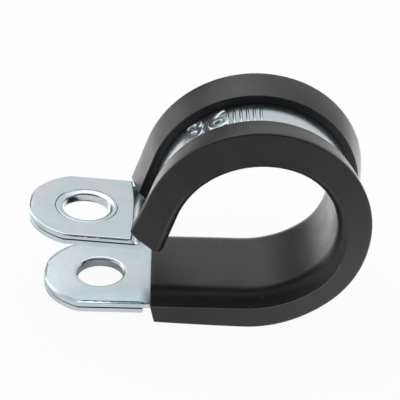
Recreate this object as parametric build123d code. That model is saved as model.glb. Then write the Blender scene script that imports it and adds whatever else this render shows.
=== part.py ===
"""Rubber-lined P clip for a 20 mm pipe or cable, standing open as it is sold.

Two pieces: a steel strap, folded from one strip, and a rubber liner pushed on over it.
Millimetres. X runs from the ears to the loop, Y along the pipe, Z up, and the origin is
on the axis of the liner's bore. The lower ear is level.
"""
import os
from math import acos, cos, radians, sin, tan

from build123d import *

# Loop: the liner's inner face turns through a heel, the bore and a crown, in that order
HEEL_RADIUS = 13.15
BORE_RADIUS = 9.35
CROWN_RADIUS = 11.8
HEEL_DEG = 42.0
BORE_DEG = 118.0
CROWN_DEG = 91.0

# Strap: rolled strip, and how much wider than the rubber it turns at heel, bore and crown
SHEET = 0.78
BAND_WIDTH = 15.0
PAD = 2.12
HEEL_LEAD = 0.31
HEEL_STANDOFF = 0.95
BORE_STANDOFF = 2.95
CROWN_STANDOFF = 1.3
LOWER_RUN = 12.9
LOWER_SHANK = 7.17
UPPER_SHANK = 6.73
EAR_GAP = 9.4
EAR_TILT = 3.75
BEND_INSIDE = 1.35

# Ears: each end is folded back on its outer side, and a collar is drawn through the fold
HOLE_DIAMETER = 6.5
EAR_TIP_RADIUS = 7.95
LOWER_FLAP = 6.15
UPPER_FLAP = 6.6
FLAP_BOW = 0.35
FOLD_GAP = 0.04
BRIDGE_WIDTH = 3.0
BRIDGE_RELIEF = 0.3
COLLAR_WALL = 0.6
COLLAR_ENTRY = 0.45
COLLAR_FLARE = 0.5
COLLAR_LIP = 0.95
COLLAR_GAP = 0.12
COLLAR_RIM = 0.2

# Liner: one extruded rubber section, closed round both edges of the strap
SIDE_WALL = 0.805
GROOVE_WIDTH = 6.5
LIP_AT_GROOVE = 1.14
LIP_AT_SIDE = 1.85
LIP_CHAMFER = 0.3
CORNER_RADIUS = 2.6
CORNER_DEEP = 1.7
LINER_FIT = 0.02
LOWER_END_SLANT = 0.62
UPPER_END_RAKE_DEG = 20.5
UPPER_END_CLEAR = 0.08

# How far a cutting tool runs past what it cuts
PAST = 1.0

TURNS_DEG = (HEEL_DEG, BORE_DEG, CROWN_DEG)
LAND_RADII = (HEEL_RADIUS, BORE_RADIUS, CROWN_RADIUS)
BAND_RADII = (HEEL_RADIUS + HEEL_STANDOFF, BORE_RADIUS + BORE_STANDOFF, CROWN_RADIUS + CROWN_STANDOFF)
ARM_HEADING = sum(TURNS_DEG)
LINER_WIDTH = BAND_WIDTH + 2 * (LINER_FIT + SIDE_WALL)
EAR_HEADING = 180.0 - EAR_TILT

# Where the level lower run meets the heel, on the liner's inner face and on the strap's
LAND_HEEL = (
    -(HEEL_RADIUS - BORE_RADIUS) * sin(radians(HEEL_DEG)),
    (HEEL_RADIUS - BORE_RADIUS) * cos(radians(HEEL_DEG)) - HEEL_RADIUS,
)
BAND_HEEL = (LAND_HEEL[0] + HEEL_LEAD, LAND_HEEL[1] - PAD)
LINER_END_X = LAND_HEEL[0] - LOWER_RUN
LOWER_HOLE = (LINER_END_X - LOWER_SHANK, BAND_HEEL[1])


def ahead(heading):
    """Unit step in the side view, along a heading in degrees."""
    return (cos(radians(heading)), sin(radians(heading)))


def outward(heading):
    """Unit step to the right of a heading, which is away from the loop."""
    return (sin(radians(heading)), -cos(radians(heading)))


def stepped(point, direction, distance):
    return (point[0] + direction[0] * distance, point[1] + direction[1] * distance)


def measured(start, end, direction):
    """How far end lies from start along a direction."""
    return (end[0] - start[0]) * direction[0] + (end[1] - start[1]) * direction[1]


def walk(start, moves):
    """Follow a path that starts level towards +X.

    A move is (length,) for a straight or (radius, degrees) for a turn, positive to the left.
    Gives for each move its start point, its heading there and the centre of its turn.
    """
    point, heading = start, 0.0
    legs = []
    for move in moves:
        if len(move) == 1:
            legs.append((point, heading, None))
            point = stepped(point, ahead(heading), move[0])
        else:
            radius, turn = move
            side = 1 if turn > 0 else -1
            centre = stepped(point, outward(heading), -side * radius)
            legs.append((point, heading, centre))
            heading += turn
            point = stepped(centre, outward(heading), side * radius)
    legs.append((point, heading, None))
    return legs


def face_edges(start, moves, shift):
    """The path as joined lines and arcs, drawn shift outward of itself, with its two ends."""
    legs = walk(start, moves)
    edges = []
    for move, (point, heading, centre), (last, last_heading, _) in zip(moves, legs, legs[1:]):
        begin = stepped(point, outward(heading), shift)
        end = stepped(last, outward(last_heading), shift)
        if centre is None:
            edges.append(Line(begin, end))
        else:
            radius, turn = move
            side = 1 if turn > 0 else -1
            middle = stepped(centre, outward(heading + turn / 2), side * radius + shift)
            edges.append(ThreePointArc(begin, middle, end))
    return edges, stepped(start, outward(0), shift), stepped(legs[-1][0], outward(legs[-1][1]), shift)


def slab(edges, width):
    """A closed side view made solid, centred on Y = 0."""
    return extrude(Plane.XZ * make_face(edges), amount=width / 2, both=True)


def run_section(section, start, moves):
    """Carry a section along a path. In the section, X points outward and Y along the pipe."""
    pieces = []
    for move, (point, heading, centre) in zip(moves, walk(start, moves)):
        right = outward(heading)
        forward = ahead(heading)
        plane = Plane(
            origin=(point[0], 0, point[1]),
            x_dir=(right[0], 0, right[1]),
            z_dir=(forward[0], 0, forward[1]),
        )
        if centre is None:
            pieces.append(extrude(plane * section, amount=move[0]))
        else:
            axis = Axis((centre[0], 0, centre[1]), (0, -1, 0))
            pieces.append(revolve(plane * section, axis=axis, revolution_arc=move[1]))
    whole = pieces[0]
    for piece in pieces[1:]:
        whole += piece
    return whole


def loop_moves(radii):
    return [(radius, turn) for radius, turn in zip(radii, TURNS_DEG)]


def loop_end(heel, radii):
    return walk(heel, loop_moves(radii))[-1][0]


def arm_length():
    """Straight stretch of the strap between the crown and the bend to the upper ear."""
    bend = BEND_INSIDE + SHEET
    rise = bend * (outward(ARM_HEADING)[1] - outward(EAR_HEADING)[1])
    rise += UPPER_SHANK * ahead(EAR_HEADING)[1]
    ear_z = LOWER_HOLE[1] + EAR_GAP
    return (ear_z - rise - loop_end(BAND_HEEL, BAND_RADII)[1]) / ahead(ARM_HEADING)[1]


ARM = arm_length()
STRAP_MOVES = (
    [(BAND_HEEL[0] - LOWER_HOLE[0],)]
    + loop_moves(BAND_RADII)
    + [(ARM,), (BEND_INSIDE + SHEET, EAR_HEADING - ARM_HEADING), (UPPER_SHANK,)]
)


def bore_tool():
    """What an eased entry, a straight bore and a flared mouth take out of an ear."""
    radius = HOLE_DIAMETER / 2
    top = 2 * SHEET + FOLD_GAP
    outline = [
        (0, -PAST),
        (radius + COLLAR_ENTRY, -PAST),
        (radius + COLLAR_ENTRY, 0),
        (radius, COLLAR_ENTRY),
        (radius, top - COLLAR_FLARE),
        (radius + COLLAR_FLARE, top),
        (radius + COLLAR_FLARE, top + PAST),
        (0, top + PAST),
    ]
    return revolve(Plane.XZ * make_face(Polyline(*outline, close=True)), axis=Axis.Z)


def collar():
    """Outside of the drawn collar: a straight wall that turns out to a lip."""
    wall = HOLE_DIAMETER / 2 + COLLAR_WALL
    lip = HOLE_DIAMETER / 2 + COLLAR_LIP
    top = 2 * SHEET + FOLD_GAP
    outline = [(0, 0), (wall, 0), (wall, SHEET), (lip, top - COLLAR_RIM), (lip, top), (0, top)]
    return revolve(Plane.XZ * make_face(Polyline(*outline, close=True)), axis=Axis.Z)


def ear(flap):
    """An ear about its hole: X to the tip, Y across, Z outward from the clamping face."""
    strip = Rectangle(2 * EAR_TIP_RADIUS, BAND_WIDTH)
    tip = Circle(EAR_TIP_RADIUS) & strip
    front_half = tip & Pos(EAR_TIP_RADIUS, 0) * Rectangle(2 * EAR_TIP_RADIUS, BAND_WIDTH)
    half = BAND_WIDTH / 2
    back = make_face([
        Line((0, -half), (0, half)),
        Line((0, half), (FLAP_BOW - flap, half)),
        ThreePointArc((FLAP_BOW - flap, half), (-flap, 0), (FLAP_BOW - flap, -half)),
        Line((FLAP_BOW - flap, -half), (0, -half)),
    ])
    over = SHEET + FOLD_GAP
    seat = Circle(HOLE_DIAMETER / 2 + COLLAR_LIP + COLLAR_GAP)
    main = extrude(front_half, amount=SHEET)
    fold = Pos(0, 0, over) * extrude(front_half + back - seat, amount=SHEET)

    fold_outside = SHEET + FOLD_GAP / 2
    fold_centre = Pos(EAR_TIP_RADIUS - fold_outside, 0, fold_outside)
    ring = Circle(fold_outside) - Circle(FOLD_GAP / 2)
    half_ring = ring & Pos(fold_outside, 0) * Rectangle(2 * fold_outside, 4 * fold_outside)
    bridge = extrude(Plane.XZ * half_ring, amount=BRIDGE_WIDTH / 2, both=True)
    relief = Pos(fold_outside, 0, 0) * Box(
        2 * fold_outside, BRIDGE_WIDTH + 2 * BRIDGE_RELIEF, 4 * fold_outside
    )
    return main + fold - fold_centre * relief + fold_centre * bridge + collar()


def ear_planes():
    """The two ears' frames, on the clamping faces at the holes, lower then upper."""
    upper_hole, heading, _ = walk(LOWER_HOLE, STRAP_MOVES)[-1]
    forward, right = ahead(heading), outward(heading)
    lower = Plane(origin=(LOWER_HOLE[0], 0, LOWER_HOLE[1]), x_dir=(-1, 0, 0), z_dir=(0, 0, -1))
    upper = Plane(
        origin=(upper_hole[0], 0, upper_hole[1]),
        x_dir=(forward[0], 0, forward[1]),
        z_dir=(right[0], 0, right[1]),
    )
    return lower, upper


def steel_strap():
    inner, inner_a, inner_b = face_edges(LOWER_HOLE, STRAP_MOVES, 0)
    outer, outer_a, outer_b = face_edges(LOWER_HOLE, STRAP_MOVES, SHEET)
    strap = slab(inner + outer + [Line(inner_a, outer_a), Line(inner_b, outer_b)], BAND_WIDTH)
    for plane, flap in zip(ear_planes(), (LOWER_FLAP, UPPER_FLAP)):
        strap += plane.location * ear(flap)
    for plane in ear_planes():
        strap -= plane.location * bore_tool()
    return strap


def liner_arms():
    """How far the liner's slanted upper end lies past the crown, inside and outside."""
    land_end = loop_end(LAND_HEEL, LAND_RADII)
    band_end = loop_end(BAND_HEEL, BAND_RADII)
    slope = tan(radians(UPPER_END_RAKE_DEG))
    at_strap = ARM - UPPER_END_CLEAR
    inward = measured(land_end, band_end, outward(ARM_HEADING)) + SHEET
    inside = measured(land_end, band_end, ahead(ARM_HEADING)) + at_strap + inward * slope
    return inside, at_strap - LIP_AT_SIDE * slope


def liner_body():
    """The rubber before it is hollowed: the full width between its inner and outer faces."""
    land_arm, lip_arm = liner_arms()
    lip_start = LINER_END_X + LOWER_END_SLANT
    land, land_a, land_b = face_edges(
        (LINER_END_X, LAND_HEEL[1]),
        [(LOWER_RUN,)] + loop_moves(LAND_RADII) + [(land_arm,)],
        0,
    )
    lip, lip_a, lip_b = face_edges(
        (lip_start, BAND_HEEL[1]),
        [(BAND_HEEL[0] - lip_start,)] + loop_moves(BAND_RADII) + [(lip_arm,)],
        SHEET + LIP_AT_SIDE,
    )
    corner = (LINER_END_X, LAND_HEEL[1] - CORNER_DEEP)
    ends = [Line(land_a, corner), Line(corner, lip_a), Line(land_b, lip_b)]
    return slab(land + lip + ends, LINER_WIDTH)


def lip_trim():
    """Section outside one lip's sloping outer face, from the groove to the side."""
    inside = GROOVE_WIDTH / 2
    side = LINER_WIDTH / 2
    low = SHEET + LIP_AT_GROOVE
    high = SHEET + LIP_AT_SIDE
    return make_face(Polyline(
        (low, inside - PAST),
        (high + PAST, inside - PAST),
        (high + PAST, side + PAST),
        (high - LIP_CHAMFER, side + PAST),
        (high - LIP_CHAMFER, side),
        (high, side - LIP_CHAMFER),
        (low, inside),
        close=True,
    ))


def corner_trim():
    """Section inside one rounded inner corner: smooth into the land, with a crease at the side."""
    side = LINER_WIDTH / 2
    turn = acos(1 - CORNER_DEEP / CORNER_RADIUS)
    base = side - CORNER_RADIUS * sin(turn)
    middle = (CORNER_RADIUS * (1 - cos(turn / 2)), base + CORNER_RADIUS * sin(turn / 2))
    near = (0, base)
    far = (CORNER_DEEP, side)
    around = Polyline(near, (-PAST, base), (-PAST, side + PAST), (CORNER_DEEP, side + PAST), far)
    return make_face([around, ThreePointArc(far, middle, near)])


def rubber_liner():
    land_arm, _ = liner_arms()
    lead = LOWER_RUN + PAST
    band_start = (BAND_HEEL[0] - lead, BAND_HEEL[1])
    land_start = (LAND_HEEL[0] - lead, LAND_HEEL[1])
    band_path = [(lead,)] + loop_moves(BAND_RADII) + [(ARM + PAST,)]
    land_path = [(lead,)] + loop_moves(LAND_RADII) + [(land_arm + PAST,)]

    slot = Pos(SHEET / 2, 0) * Rectangle(SHEET + 2 * LINER_FIT, BAND_WIDTH + 2 * LINER_FIT)
    groove = Pos(SHEET + LIP_AT_SIDE, 0) * Rectangle(2 * LIP_AT_SIDE, GROOVE_WIDTH)
    liner = liner_body() - run_section(slot, band_start, band_path)
    liner -= run_section(groove, band_start, band_path)
    for section, start, path in ((lip_trim(), band_start, band_path), (corner_trim(), land_start, land_path)):
        tool = run_section(section, start, path)
        liner -= tool
        liner -= mirror(tool, about=Plane.XZ)
    return liner


def main():
    os.makedirs("parts", exist_ok=True)
    for name, make in (("steel_strap", steel_strap), ("rubber_liner", rubber_liner)):
        export_step(make(), f"parts/{name}.step")


main()
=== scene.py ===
"""A rubber-lined P clip in a plain pale studio.

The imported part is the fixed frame. Its strap is shown as bright zinc-plated strip with rolled and
sheared edges, and its liner as black extruded rubber. Settings are in metres, as Blender keeps them.
"""
from math import atan2, ceil, cos, pi, radians, sin, tan

import bmesh
import bpy
from mathutils import Matrix, Vector, noise


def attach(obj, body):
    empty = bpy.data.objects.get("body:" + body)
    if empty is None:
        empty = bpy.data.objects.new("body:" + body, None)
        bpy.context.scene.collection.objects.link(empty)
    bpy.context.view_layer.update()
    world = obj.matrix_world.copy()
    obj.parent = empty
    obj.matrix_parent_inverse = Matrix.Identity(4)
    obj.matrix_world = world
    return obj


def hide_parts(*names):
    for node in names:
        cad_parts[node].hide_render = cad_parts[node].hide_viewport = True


bl_info = {
    "name": "P clip",
    "version": (1, 0, 0),
    "blender": (4, 5, 0),
    "location": "3D View > Sidebar > P clip",
    "description": "Zinc-plated strap and rubber liner of a P clip, with a small studio",
    "category": "Object",
}

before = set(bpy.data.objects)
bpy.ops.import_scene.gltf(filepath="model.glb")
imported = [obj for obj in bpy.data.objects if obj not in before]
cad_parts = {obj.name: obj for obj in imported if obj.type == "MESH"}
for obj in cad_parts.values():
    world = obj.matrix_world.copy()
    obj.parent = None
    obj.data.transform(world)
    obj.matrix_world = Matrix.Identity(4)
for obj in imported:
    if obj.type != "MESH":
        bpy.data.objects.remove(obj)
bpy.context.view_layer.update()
MM = 0.001
ACROSS = Vector((0.0, 1.0, 0.0))
WELD = 2e-7
QUARTER = pi / 2


def linear(code):
    """Scene-linear colour from an sRGB hex code."""
    channels = [int(code[i:i + 2], 16) / 255 for i in (1, 3, 5)]
    return tuple(c / 12.92 if c <= 0.04045 else ((c + 0.055) / 1.055) ** 2.4 for c in channels)


def length(name, description, millimetres):
    return bpy.props.FloatProperty(
        name=name, description=description, default=millimetres * MM,
        min=0.0, precision=5, subtype="DISTANCE", unit="LENGTH")


def angle(name, description, degrees):
    return bpy.props.FloatProperty(
        name=name, description=description, default=radians(degrees), subtype="ANGLE", unit="ROTATION")


def colour(name, description, code):
    return bpy.props.FloatVectorProperty(
        name=name, description=description, default=linear(code), size=3, min=0.0, max=1.0, subtype="COLOR")


def count(name, description, number):
    return bpy.props.IntProperty(name=name, description=description, default=number, min=1)


def level(name, description, number, unit="NONE"):
    return bpy.props.FloatProperty(name=name, description=description, default=number, min=0.0, unit=unit)


def direction(name, description, way):
    return bpy.props.FloatVectorProperty(
        name=name, description=description, default=way, size=3, subtype="DIRECTION")


def spot(name, description, millimetres):
    return bpy.props.FloatVectorProperty(
        name=name, description=description, default=[value * MM for value in millimetres],
        size=3, subtype="XYZ", unit="LENGTH")


def group(name, description, kind):
    return bpy.props.PointerProperty(name=name, description=description, type=kind)


class ClipLoop(bpy.types.PropertyGroup):
    """The two paths round the loop: the rubber's inner face, and the strap's face towards it."""
    heel_radius: length("Heel radius", "Inner face of the rubber at the heel", 13.15)
    bore_radius: length("Bore radius", "Inner face of the rubber round the pipe", 9.35)
    crown_radius: length("Crown radius", "Inner face of the rubber at the crown", 11.8)
    heel_turn: angle("Heel turn", "How far the heel turns", 42.0)
    bore_turn: angle("Bore turn", "How far the bore turns", 118.0)
    crown_turn: angle("Crown turn", "How far the crown turns", 91.0)
    heel_standoff: length("Heel stand-off", "Strap radius less rubber radius at the heel", 0.95)
    bore_standoff: length("Bore stand-off", "Strap radius less rubber radius at the bore", 2.95)
    crown_standoff: length("Crown stand-off", "Strap radius less rubber radius at the crown", 1.3)
    pad: length("Pad", "Rubber between the strap and the lower run", 2.12)
    heel_lead: length("Heel lead", "How far past the rubber the strap's heel starts", 0.31)
    lower_run: length("Lower run", "Level stretch of rubber before the heel", 12.9)
    lower_shank: length("Lower shank", "Rubber's lower end to the lower hole", 7.17)
    upper_shank: length("Upper shank", "Bend to the upper hole", 6.73)
    ear_gap: length("Ear gap", "Height between the two clamping faces at the holes", 9.4)
    ear_tilt: angle("Ear tilt", "How far the upper ear leans down to its tip", 3.75)
    bend_inside: length("Bend inside", "Inside radius of the bend to the upper ear", 1.35)


class StrapSizes(bpy.types.PropertyGroup):
    """The zinc-plated strip, its folded ears and the collars drawn through them."""
    sheet: length("Sheet", "Thickness of the strip", 0.78)
    width: length("Width", "Width of the strip", 15.0)
    tip_radius: length("Tip radius", "Round tip of each ear about its hole", 7.95)
    hole: length("Hole", "Diameter of the bolt holes", 6.5)
    joint: length("Joint", "Each hole to the line where its ear meets the band", 6.68)
    lower_flap: length("Lower flap", "Lower hole to the end of its folded layer", 6.15)
    lower_skew: spot("Lower skew", "How far short the lower flap's end is at its front and rear corners",
                     (-0.03, 0.2, 0.0))
    upper_flap: length("Upper flap", "Upper hole to the end of its folded layer", 6.6)
    upper_skew: spot("Upper skew", "How far short the upper flap's end is at its front and rear corners",
                     (0.2, 0.5, 0.0))
    fold_gap: length("Fold gap", "Air between an ear's two layers", 0.04)
    bridge: length("Bridge", "Width of the fold at each tip", 3.0)
    bridge_relief: length("Bridge relief", "Slit either side of the fold", 0.004)
    fold_lap: length("Fold lap", "How far the fold's skin reaches back over the layers", 0.14)
    collar_wall: length("Collar wall", "Thickness of the drawn collar", 0.6)
    collar_lip: length("Collar lip", "Width of the collar's rolled mouth", 0.95)
    collar_gap: length("Collar gap", "Slit between the collar and the folded layer", 0.12)
    entry: length("Entry", "Rounding where the hole is drawn in", 0.45)
    flare: length("Flare", "Rounding of the collar's mouth", 0.37)
    roll: length("Edge roll", "Rolled-over edge of the sheared strip", 0.13)
    rollover: length("Rollover", "Width of the lower ear's rolled-over upper edge", 0.5)
    tear: length("Tear", "Depth of the ragged line under a sheared edge", 0.055)


class LinerSizes(bpy.types.PropertyGroup):
    """The extruded rubber section."""
    side_wall: length("Side wall", "Rubber outside each edge of the strap", 0.805)
    groove: length("Groove", "Width of the open groove over the strap", 6.5)
    lip_at_groove: length("Lip at groove", "Height of a lip beside the groove", 1.14)
    lip_at_side: length("Lip at side", "Height of a lip at the liner's side", 2.03)
    lip_crown: length("Lip crown", "How far a lip's outer face swells", 0.1)
    edge: length("Edge", "Rounding of the lip's edges", 0.3)
    corner_across: length("Corner across", "Inner corner's width", 2.9)
    corner_deep: length("Corner deep", "Inner corner's depth", 2.0)
    fit: length("Fit", "Air round the strap in its slot", 0.02)
    lower_slant: length("Lower slant", "Lean of the lower end", 0.62)
    upper_rake: angle("Upper rake", "Slant of the upper end", 20.5)
    upper_clear: length("Upper clear", "Upper end to the start of the strap's bend", 0.08)
    flare: length("Flare", "How far the front lip spreads at the upper end", 0.42)
    rear_reach: length("Rear reach", "How far the rear lip outruns the front one", 1.45)
    end_swell: length("End swell", "How far the upper end bulges in its middle", 0.4)
    # The crease is a narrow facet of the shape; the paler colour along it is a painted highlight.
    crease: length("Crease", "Rubbed edge between the inner corner and the side", 0.06)
    corner_turn: angle("Corner turn", "How far the inner corner turns before its crease", 65.0)
    bent_across: length("Bent corner across", "Inner corner's width where the loop is bent", 2.0)
    bent_deep: length("Bent corner deep", "Inner corner's depth where the loop is bent", 1.3)
    bent_from: angle("Bent from", "Turn of the loop where the corner starts to tighten", 42.0)
    bent_full: angle("Bent fully", "Turn of the loop where the corner is tightest", 88.0)
    front_drop: length("Front drop", "How much lower the front lip stands round the bend", 0.25)
    heel_swell: length("Heel swell", "How far the lips swell under the heel", 0.28)
    heel_sink: length("Heel sink", "How much lower the lips are at the lower end", 0.22)
    cut_edge: length("Cut edge", "Softened rim of the two cut ends", 0.1)


class MarkSizes(bpy.types.PropertyGroup):
    """A plain number and plain strokes, raised on the strap in the groove."""
    number: bpy.props.StringProperty(name="Number", description="Plain raised number", default="36")
    height: length("Height", "Height of the number and strokes", 4.4)
    relief: length("Relief", "How far they stand out of the strap", 0.3)
    stroke: length("Stroke", "Width of a stroke", 0.5)
    number_at: angle("Number at", "Place of the number round the crown", 211.0)
    strokes_at: angle("Strokes at", "Place of the first stroke round the crown", 198.5)
    stroke_step: angle("Stroke step", "Turn from one stroke to the next", -3.7)
    strokes: count("Strokes", "Plain strokes after the number", 6)


class DustSizes(bpy.types.PropertyGroup):
    """Specks of dust that cling to the rubber."""
    per_area: level("Specks per area", "Specks on a square metre of rubber", 26000.0)
    smallest: length("Smallest", "Radius of the smallest speck", 0.03)
    largest: length("Largest", "Radius of the largest speck", 0.065)
    seed: count("Seed", "Another seed scatters the dust another way", 7)


class Finishes(bpy.types.PropertyGroup):
    """Colours of the finishes."""
    zinc: colour("Zinc", "Bright zinc plating", "#c8d2d6")
    zinc_cool: colour("Zinc, cool", "Cool patches in the plating", "#c1cfd3")
    zinc_warm: colour("Zinc, warm", "Warm patches in the plating", "#cecfd5")
    rubber: colour("Rubber", "Black rubber", "#161617")
    # Colour of the tear line of a sheared edge, dull metal darkened further as painted shade of its groove,
    # and of the seam between an ear's two layers, as painted shade
    torn_and_shaded: colour("Torn edge", "Dull ragged line under a sheared edge", "#4a5256")
    rubber_worn: colour("Rubber, worn", "Greyer patches in the rubber", "#1d1d1e")
    # Paler rubber along the crease: a painted highlight
    painted_crease_highlight: colour("Rubber, rubbed", "Paler rubber along the crease", "#4c4c4e")
    dust: colour("Dust", "Pale dust", "#b4b4b2")
    floor: colour("Floor", "Pale studio floor", "#f4f4f4")


class StudioSettings(bpy.types.PropertyGroup):
    """The camera, the lamps, and what the room and the floor show in reflections."""
    eye: spot("Camera", "Where the camera stands", (-14.804, -166.540, 104.022))
    right: direction("Camera right", "Way to the right edge of the picture", (0.99923, -0.01199, 0.03725))
    up: direction("Camera up", "Way to the upper edge of the picture", (-0.02522, 0.53063, 0.84723))
    focal: level("Focal length", "Lens of the camera in millimetres", 128.75)
    top_place: spot("Top lamp place", "Where the overhead lamp hangs", (-120.0, 200.0, 300.0))
    top_size: length("Top lamp size", "Side of the overhead lamp", 250.0)
    top_power: level("Top lamp", "Power of the overhead lamp", 0.16, "POWER")
    side_place: spot("Side lamp place", "Where the side lamp stands", (300.0, 50.0, 160.0))
    side_size: length("Side lamp size", "Side of the side lamp", 200.0)
    side_power: level("Side lamp", "Power of the side lamp", 0.08, "POWER")
    ambient: level("Room", "Strength of the light from the room", 0.85)
    room_level: level("Room level", "Strength of the room in reflections", 0.88)
    dark_way: direction("Dark side", "Way to the dark side of the room", (0.0, -0.8, 0.6))
    dark_reach: angle("Dark reach", "Where the dark side of the room starts to fade in", 60.0)
    dark_core: angle("Dark core", "Where the dark side of the room is darkest", 33.0)
    dark_level: level("Dark level", "Strength of the dark side in reflections", 0.05)
    card_way: direction("Bright card", "Way to the card behind and to the left", (-0.85, 0.5, 0.1))
    card_reach: angle("Card reach", "Where the bright card ends", 30.0)
    card_core: angle("Card core", "Where the bright card is brightest", 12.0)
    card_level: level("Card level", "Extra strength of the bright card", 1.7)
    box_way: direction("Softbox", "Way to the overhead softbox", (0.0, 0.25, 0.968))
    box_reach: angle("Softbox reach", "Where the softbox ends", 38.0)
    box_core: angle("Softbox core", "Where the softbox is brightest", 18.0)
    box_level: level("Softbox level", "Extra strength of the softbox", 0.65)
    gap_way: direction("Dim gap", "Way to the dim gap between card and floor", (-0.53, 0.85, 0.0))
    gap_reach: angle("Gap reach", "Where the dim gap ends", 38.0)
    gap_core: angle("Gap core", "Where the dim gap is dimmest", 14.0)
    gap_level: level("Gap level", "How much dimmer the gap is than the room", 0.8)
    floor_reach: length("Floor reach", "Half the side of the floor", 2000.0)
    floor_white: level("Floor white", "Share of the floor that is plain white to the camera", 0.93)
    # In reflections the floor's glow is left out of a strip along the clip: a painted shade under it, where
    # only the lit floor and its shadow show.
    clear_from: length("Clear from", "Beside the clip, where the floor starts to show in reflections", 3.0)
    clear_to: length("Clear to", "Beside the clip, where the floor shows fully in reflections", 8.0)
    near_level: level("Near level", "Strength of the floor beside the clip in reflections", 0.9)
    glow_level: level("Glow level", "Strength of the floor behind the clip in reflections", 2.3)
    glow_from: length("Glow from", "Where the floor behind the clip starts to brighten", 14.0)
    glow_to: length("Glow to", "Where the floor behind the clip is brightest", 26.0)
    fade_level: level("Fade level", "Share of that strength left far behind the clip", 0.55)
    fade_from: length("Fade from", "Where the floor behind the clip starts to fade", 60.0)
    fade_to: length("Fade to", "Where the floor behind the clip has faded", 110.0)
    bright_spot: spot("Bright spot", "Where the floor is brighter in reflections", (34.0, -18.0, -15.5))
    bright_core: length("Bright core", "Where the bright spot is brightest", 6.0)
    bright_reach: length("Bright reach", "Where the bright spot ends", 44.0)
    bright_level: level("Bright level", "Strength of the bright spot", 2.1)
    dim_spot: spot("Dim spot", "Where the floor is dimmer in reflections", (2.0, -60.0, -15.5))
    dim_core: length("Dim core", "Where the dim spot is dimmest", 12.0)
    dim_reach: length("Dim reach", "Where the dim spot ends", 42.0)
    dim_level: level("Dim level", "Strength of the dim spot", 0.5)


class ClipSettings(bpy.types.PropertyGroup):
    """Everything a user may change."""
    loop: group("Loop", "Paths round the loop", ClipLoop)
    strap: group("Strap", "Sizes of the strap", StrapSizes)
    liner: group("Liner", "Sizes of the liner", LinerSizes)
    mark: group("Mark", "Raised number and strokes", MarkSizes)
    dust: group("Dust", "Dust on the rubber", DustSizes)
    finishes: group("Finishes", "Colours", Finishes)
    studio: group("Studio", "Camera, lamps and reflections", StudioSettings)


# Paths round the loop

def ahead(heading):
    return Vector((cos(heading), 0.0, sin(heading)))


def outward(heading):
    return Vector((sin(heading), 0.0, -cos(heading)))


def follow(start, moves, counts):
    """Points and headings along a path that starts level towards +X.

    A move is (length,) for a straight or (radius, turn) for a bend; counts gives its steps.
    """
    point, heading = start.copy(), 0.0
    line = [(point, heading)]
    for move, steps in zip(moves, counts):
        first, begun = point, heading
        for step in range(1, steps + 1):
            share = step / steps
            if len(move) == 1:
                point = first + ahead(begun) * (move[0] * share)
            else:
                radius, turn = move
                side = 1 if turn > 0 else -1
                heading = begun + turn * share
                centre = first - outward(begun) * (side * radius)
                point = centre + outward(heading) * (side * radius)
            line.append((point, heading))
    return line


def loop_turns(loop):
    return (loop.heel_turn, loop.bore_turn, loop.crown_turn)


def land_radii(loop):
    return (loop.heel_radius, loop.bore_radius, loop.crown_radius)


def band_radii(loop):
    standoffs = (loop.heel_standoff, loop.bore_standoff, loop.crown_standoff)
    return tuple(radius + standoff for radius, standoff in zip(land_radii(loop), standoffs))


def loop_moves(loop, radii):
    return [(radius, turn) for radius, turn in zip(radii, loop_turns(loop))]


def land_heel(loop):
    """Where the level lower run of the rubber's inner face meets the heel."""
    rest = loop.heel_radius - loop.bore_radius
    return Vector((-rest * sin(loop.heel_turn), 0.0, rest * cos(loop.heel_turn) - loop.heel_radius))


def band_heel(loop):
    """Where the strap's level run meets the heel, on its face towards the rubber."""
    return land_heel(loop) + Vector((loop.heel_lead, 0.0, -loop.pad))


def loop_end(loop, heel, radii):
    return follow(heel, loop_moves(loop, radii), (1, 1, 1))[-1][0]


def ear_heading(loop):
    return pi - loop.ear_tilt


def lower_hole(loop):
    back = loop.lower_run + loop.lower_shank + loop.heel_lead
    return band_heel(loop) - Vector((back, 0.0, 0.0))


def arm_length(loop, strap):
    """Straight stretch of the strap between the crown and the bend to the upper ear."""
    turned, flat = sum(loop_turns(loop)), ear_heading(loop)
    bend = loop.bend_inside + strap.sheet
    rise = bend * (outward(turned).z - outward(flat).z) + loop.upper_shank * ahead(flat).z
    ear_z = lower_hole(loop).z + loop.ear_gap
    return (ear_z - rise - loop_end(loop, band_heel(loop), band_radii(loop)).z) / ahead(turned).z


def crown_centre(loop):
    """Centre of the strap's crown."""
    start, heading = follow(band_heel(loop), loop_moves(loop, band_radii(loop)), (1, 1, 1))[2]
    return start - outward(heading) * band_radii(loop)[2]


def arc_steps(turn, step):
    return max(1, ceil(abs(turn) / step))


def quarter(steps, first=0):
    """Sine and cosine at each step of a quarter turn."""
    turns = [QUARTER * i / steps for i in range(first, steps + 1)]
    return [(sin(turn), cos(turn)) for turn in turns]


# Meshes

def linked(name, data):
    """An object in the scene that holds this data."""
    made = bpy.data.objects.new(name, data)
    bpy.context.scene.collection.objects.link(made)
    return made


def mesh_object(name, verts, faces):
    data = bpy.data.meshes.new(name)
    data.from_pydata(verts, [], faces)
    data.update()
    return linked(name, data)


def settle(piece, materials, sharp):
    """Weld the piece, turn its faces outwards, shade it and give it its finishes."""
    work = bmesh.new()
    work.from_mesh(piece.data)
    bmesh.ops.remove_doubles(work, verts=work.verts, dist=WELD)
    bmesh.ops.recalc_face_normals(work, faces=work.faces)
    work.to_mesh(piece.data)
    work.free()
    piece.data.shade_smooth()
    piece.data.set_sharp_from_angle(angle=sharp)
    kept = [face.material_index for face in piece.data.polygons]
    piece.data.materials.clear()
    for material in materials:
        piece.data.materials.append(material)
    piece.data.polygons.foreach_set("material_index", kept)


def joined(name, pieces):
    """One object from several, with their meshes in its own."""
    work = bmesh.new()
    for piece in pieces:
        work.from_mesh(piece.data)
        bpy.data.objects.remove(piece)
    data = bpy.data.meshes.new(name)
    work.to_mesh(data)
    work.free()
    return linked(name, data)


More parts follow.
